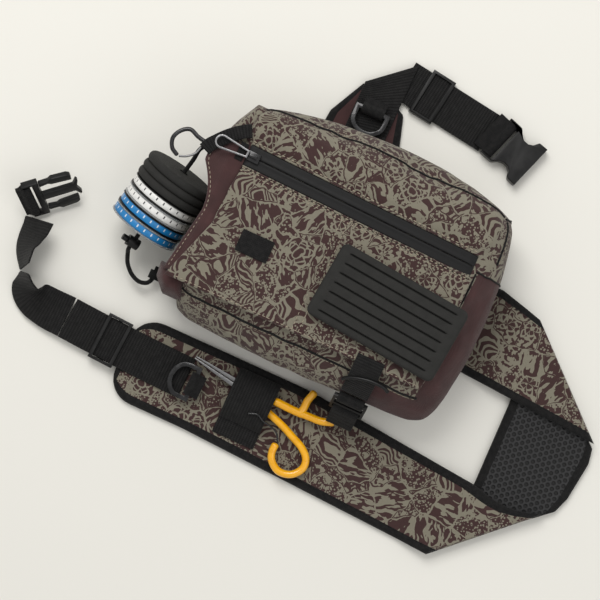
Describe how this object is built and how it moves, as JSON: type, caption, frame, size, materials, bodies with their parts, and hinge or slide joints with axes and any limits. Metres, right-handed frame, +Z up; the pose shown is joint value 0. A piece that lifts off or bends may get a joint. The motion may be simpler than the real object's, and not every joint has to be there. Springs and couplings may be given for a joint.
{
  "type": "sling bag",
  "caption": "Fishing sling bag lying flat: padded body with coated zipper, folded shoulder strap, waist belt with side release buckle, fly patch, tippet stack and forceps.",
  "frame": {"origin": "middle of the footprint, on the surface that the bag lies on", "axes": "+X along the body's long side towards the end where the shoulder strap starts, +Y towards the body's upper edge with the zipper, +Z up, out of the front face"},
  "size_m": [0.5669, 0.3988, 0.1008],
  "materials": {
    "printed_cloth": "woven, printed in a two-colour camouflage-like pattern",
    "maroon_cloth": "plain coated weave",
    "black_webbing": "ribbed woven webbing",
    "mesh_cloth": "spacer mesh",
    "coated_tape": "water-resistant coated tape, satin",
    "black_plastic": "moulded, satin",
    "black_metal": "black, satin gloss",
    "steel": "brushed",
    "dark_foam": "closed-cell foam",
    "yellow_grip": "glossy dipped grip",
    "white_band": "printed band",
    "blue_band": "printed band",
    "clear_plastic": "clear moulded"
  },
  "bodies": {
    "bag": {"main_shell": "printed_cloth", "back_panel": "mesh_cloth", "front_pocket_panel": "printed_cloth", "right_gusset": "maroon_cloth", "side_pocket": "maroon_cloth", "zipper_tape_upper": "coated_tape", "zipper_tape_lower": "coated_tape", "zipper_end_tab": "black_webbing", "logo_patch": "black_webbing", "strap_upper": "printed_cloth", "strap_middle": "mesh_cloth", "strap_lower": "printed_cloth", "strap_wing": "maroon_cloth", "wing_webbing": "black_webbing", "belt_webbing": "black_webbing", "socket_loop": "black_webbing", "wing_ring_loop": "black_webbing", "waist_webbing": "black_webbing", "strap_ring_loop": "black_webbing", "plug_webbing": "black_webbing", "webbing_fold": "black_webbing", "plug_loop": "black_webbing", "tether_cord": "black_webbing", "cord_lock": "black_plastic", "tether_tab": "black_webbing", "cord_anchor_loop": "black_webbing", "tool_sleeve": "black_webbing", "patch_hook_panel": "black_webbing", "bottom_tab": "black_webbing", "ladder_lock_loop": "black_webbing"},
    "zip_slider": {"zip_slider": "black_metal"},
    "zip_pull": {"zip_pull": "steel"},
    "wing_d_ring": {"wing_d_ring": "black_metal"},
    "strap_d_ring": {"strap_d_ring": "black_metal"},
    "belt_triglide": {"belt_triglide": "black_plastic"},
    "waist_triglide": {"waist_triglide": "black_plastic"},
    "buckle_socket": {"buckle_socket": "black_plastic"},
    "buckle_plug": {"buckle_plug": "black_plastic"},
    "prong_left": {"buckle_prong_left": "black_plastic"},
    "prong_right": {"buckle_prong_right": "black_plastic"},
    "lock_button": {"cord_lock_button": "black_plastic"},
    "gear_clip": {"gear_clip": "black_metal"},
    "clip_gate": {"clip_gate": "black_metal"},
    "spool_1": {"tippet_spool_1": "clear_plastic", "spool_band_1": "blue_band"},
    "spool_2": {"tippet_spool_2": "black_plastic", "spool_band_2": "blue_band"},
    "spool_3": {"tippet_spool_3": "clear_plastic", "spool_band_3": "white_band"},
    "spool_4": {"tippet_spool_4": "black_plastic", "spool_band_4": "white_band"},
    "rigging_foam": {"rigging_foam": "dark_foam"},
    "forceps": {"forceps_arm_upper": "steel", "forceps_grip_fork": "yellow_grip", "forceps_screw": "steel"},
    "forceps_jaw": {"forceps_arm_lower": "steel", "forceps_grip_hook": "yellow_grip"},
    "fly_patch": {"fly_patch": "dark_foam"},
    "ladder_lock": {"ladder_lock": "black_plastic"},
    "tab_ring": {"tab_ring": "black_webbing"}
  },
  "joints": [
    {"name": "zip_travel", "type": "slide", "parent": "bag", "child": "zip_slider", "axis": [0.9994, -0.0336, 0], "range_m": [0, 0.195]},
    {"name": "zip_pull_lift", "type": "hinge", "parent": "zip_slider", "child": "zip_pull", "pos_m": [-0.1053, 0.0517, 0.0919], "axis": [0.0336, 0.9994, 0], "range_deg": [0, 150]},
    {"name": "wing_ring_lift", "type": "hinge", "parent": "bag", "child": "wing_d_ring", "pos_m": [-0.025, 0.1409, 0.0122], "axis": [-1, 0, 0], "range_deg": [0, 135]},
    {"name": "strap_ring_lift", "type": "hinge", "parent": "bag", "child": "strap_d_ring", "pos_m": [-0.07, -0.1481, 0.0137], "axis": [0.0349, 0.9994, 0], "range_deg": [0, 135]},
    {"name": "belt_adjust", "type": "slide", "parent": "bag", "child": "belt_triglide", "axis": [0.9903, -0.1392, 0], "range_m": [-0.005, 0.034]},
    {"name": "waist_adjust", "type": "slide", "parent": "bag", "child": "waist_triglide", "axis": [-0.9984, 0.0558, 0], "range_m": [0, 0.026]},
    {"name": "socket_lift", "type": "hinge", "parent": "bag", "child": "buckle_socket", "pos_m": [0.0895, 0.1662, 0.0055], "axis": [-0.3256, -0.9455, 0], "range_deg": [0, 48]},
    {"name": "plug_swing", "type": "hinge", "parent": "bag", "child": "buckle_plug", "pos_m": [-0.27, -0.0586, 0.021], "axis": [-0.3705, 0.4188, 0.829], "range_deg": [-28, 28]},
    {"name": "prong_left_flex", "type": "hinge", "parent": "buckle_plug", "child": "prong_left", "pos_m": [-0.26656, -0.04287, 0.03509], "axis": [-0.5493, 0.6209, -0.5592], "range_deg": [0, 6], "stiffness_Nm_per_rad": 2},
    {"name": "prong_right_flex", "type": "hinge", "parent": "buckle_plug", "child": "prong_right", "pos_m": [-0.25396, -0.05711, 0.00691], "axis": [0.5493, -0.6209, 0.5592], "range_deg": [0, 6], "stiffness_Nm_per_rad": 2},
    {"name": "lock_button_press", "type": "slide", "parent": "bag", "child": "lock_button", "axis": [0.9028, -0.1183, -0.4134], "range_m": [0, 0.0025], "stiffness_N_per_m": 400},
    {"name": "clip_swing", "type": "hinge", "parent": "bag", "child": "gear_clip", "pos_m": [-0.142, 0.0459, 0.0785], "axis": [0, 0, 1], "range_deg": [-15, 15]},
    {"name": "clip_gate_open", "type": "hinge", "parent": "gear_clip", "child": "clip_gate", "pos_m": [-0.1585, 0.0273, 0.0785], "axis": [0, 0, 1], "range_deg": [0, 18], "stiffness_Nm_per_rad": 0.3},
    {"name": "spool_1_spin", "type": "hinge", "parent": "bag", "child": "spool_1", "pos_m": [-0.159, -0.0096, 0.0392], "axis": [0.22, 0.9531, 0.2079], "continuous": true},
    {"name": "spool_2_spin", "type": "hinge", "parent": "bag", "child": "spool_2", "pos_m": [-0.159, -0.0096, 0.0392], "axis": [0.22, 0.9531, 0.2079], "continuous": true},
    {"name": "spool_3_spin", "type": "hinge", "parent": "bag", "child": "spool_3", "pos_m": [-0.159, -0.0096, 0.0392], "axis": [0.22, 0.9531, 0.2079], "continuous": true},
    {"name": "spool_4_spin", "type": "hinge", "parent": "bag", "child": "spool_4", "pos_m": [-0.159, -0.0096, 0.0392], "axis": [0.22, 0.9531, 0.2079], "continuous": true},
    {"name": "foam_spin", "type": "hinge", "parent": "bag", "child": "rigging_foam", "pos_m": [-0.159, -0.0096, 0.0392], "axis": [0.22, 0.9531, 0.2079], "continuous": true},
    {"name": "forceps_draw", "type": "slide", "parent": "bag", "child": "forceps", "axis": [0.9888, -0.1495, 0], "range_m": [0, 0.095]},
    {"name": "forceps_open", "type": "hinge", "parent": "forceps", "child": "forceps_jaw", "pos_m": [-0.0245, -0.1331, 0.0116], "axis": [0, 0, -1], "range_deg": [0, 8]},
    {"name": "patch_lift", "type": "slide", "parent": "bag", "child": "fly_patch", "axis": [0, 0, 1], "range_m": [0, 0.03]},
    {"name": "ladder_lock_lift", "type": "hinge", "parent": "bag", "child": "ladder_lock", "pos_m": [0.0625, -0.1031, 0.056], "axis": [-1, 0, 0], "range_deg": [0, 68]},
    {"name": "tab_ring_swing", "type": "hinge", "parent": "ladder_lock", "child": "tab_ring", "pos_m": [0.0625, -0.11237, 0.04116], "axis": [-1, 0, 0], "range_deg": [-12, 20]}
  ],
  "couplings": [
    {"joint": "prong_right_flex", "follows": "prong_left_flex", "ratio": 1}
  ]
}
